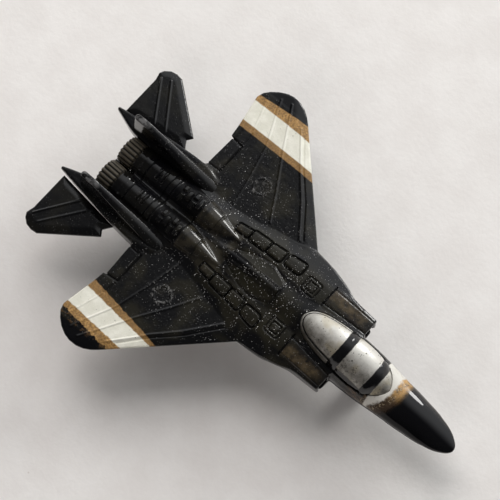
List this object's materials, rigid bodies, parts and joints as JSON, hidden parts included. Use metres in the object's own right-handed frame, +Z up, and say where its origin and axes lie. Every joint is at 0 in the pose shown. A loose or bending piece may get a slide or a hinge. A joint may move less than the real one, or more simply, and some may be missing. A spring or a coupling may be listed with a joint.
{
  "type": "toy jet fighter",
  "caption": "Pocket toy jet fighter with twin fins and twin engines; a two-shell body stands on landing gear whose wheels roll.",
  "frame": {"origin": "on the ground under the middle of the model's box, wheels resting on z = 0", "axes": "+X towards the nose, +Y towards the pilot's left, +Z up"},
  "size_m": [0.09, 0.0628, 0.0196],
  "materials": {
    "shell_paint": "gloss black paint over cast metal, with ivory and bronze bands",
    "black_plastic": "gloss",
    "canopy_silver": "silver paint, gloss black frames",
    "nozzle_bronze": "dark bronze, satin",
    "gear_plastic": "satin",
    "wheel_plastic": "matt",
    "pin_steel": "plain",
    "screw_steel": "plain"
  },
  "bodies": {
    "airframe": {"upper_shell": "shell_paint", "lower_shell": "black_plastic", "canopy": "canopy_silver", "left_fin": "black_plastic", "left_stabiliser": "black_plastic", "left_nozzle": "nozzle_bronze", "left_main_leg": "gear_plastic", "left_main_axle": "pin_steel", "right_fin": "black_plastic", "right_stabiliser": "black_plastic", "right_nozzle": "nozzle_bronze", "right_main_leg": "gear_plastic", "right_main_axle": "pin_steel", "nose_leg": "gear_plastic", "nose_axle": "pin_steel", "body_screws": "screw_steel"},
    "nose_wheel": {"nose_wheel": "wheel_plastic"},
    "left_main_wheel": {"left_main_wheel": "wheel_plastic"},
    "right_main_wheel": {"right_main_wheel": "wheel_plastic"}
  },
  "joints": [
    {"name": "nose_wheel_spin", "type": "hinge", "parent": "airframe", "child": "nose_wheel", "pos_m": [0.024, 0, 0.0021], "axis": [0, 1, 0], "continuous": true},
    {"name": "left_main_wheel_spin", "type": "hinge", "parent": "airframe", "child": "left_main_wheel", "pos_m": [-0.013, 0.00665, 0.0025], "axis": [0, 1, 0], "continuous": true},
    {"name": "right_main_wheel_spin", "type": "hinge", "parent": "airframe", "child": "right_main_wheel", "pos_m": [-0.013, -0.00665, 0.0025], "axis": [0, 1, 0], "continuous": true}
  ]
}
